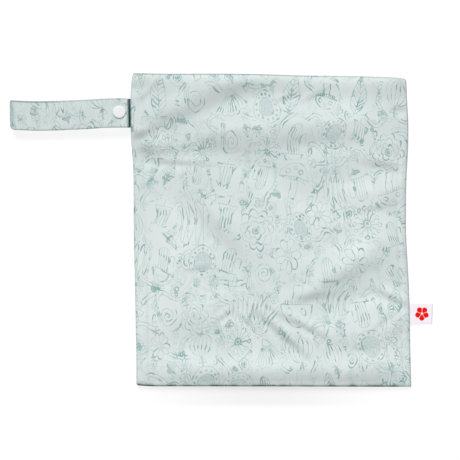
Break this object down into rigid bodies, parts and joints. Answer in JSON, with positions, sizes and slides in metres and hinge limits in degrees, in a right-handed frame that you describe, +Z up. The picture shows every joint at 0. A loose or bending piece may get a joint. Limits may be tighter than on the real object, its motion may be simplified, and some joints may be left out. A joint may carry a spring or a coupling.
{
  "type": "cloth diaper wet bag",
  "caption": "Flat zipped waterproof cloth pouch with a snap-closed carry loop at its upper side and a small label in the side seam.",
  "frame": {"origin": "middle of the bag body's underside, on the surface that it lies on", "axes": "+X to the right across the bag, away from its strap; +Y towards the zipped mouth; +Z up, out of the front cloth"},
  "size_m": [0.4254, 0.3154, 0.0118],
  "materials": {
    "printed_cloth": "smooth laminated knit, pale mint with a fine teal line print",
    "zip": "woven tape with a coil chain",
    "snap_resin": "satin white resin",
    "label_weave": "fine satin weave, white, with a plain red blossom"
  },
  "bodies": {
    "root": {"back_panel": "printed_cloth", "front_panel": "printed_cloth", "seam_allowance_left": "printed_cloth", "seam_allowance_right": "printed_cloth", "strap": "printed_cloth", "zip_closure": "zip", "snap_cap_front": "snap_resin", "snap_socket": "snap_resin", "snap_stud": "snap_resin", "snap_cap_back": "snap_resin", "side_label": "label_weave"}
  },
  "joints": []
}
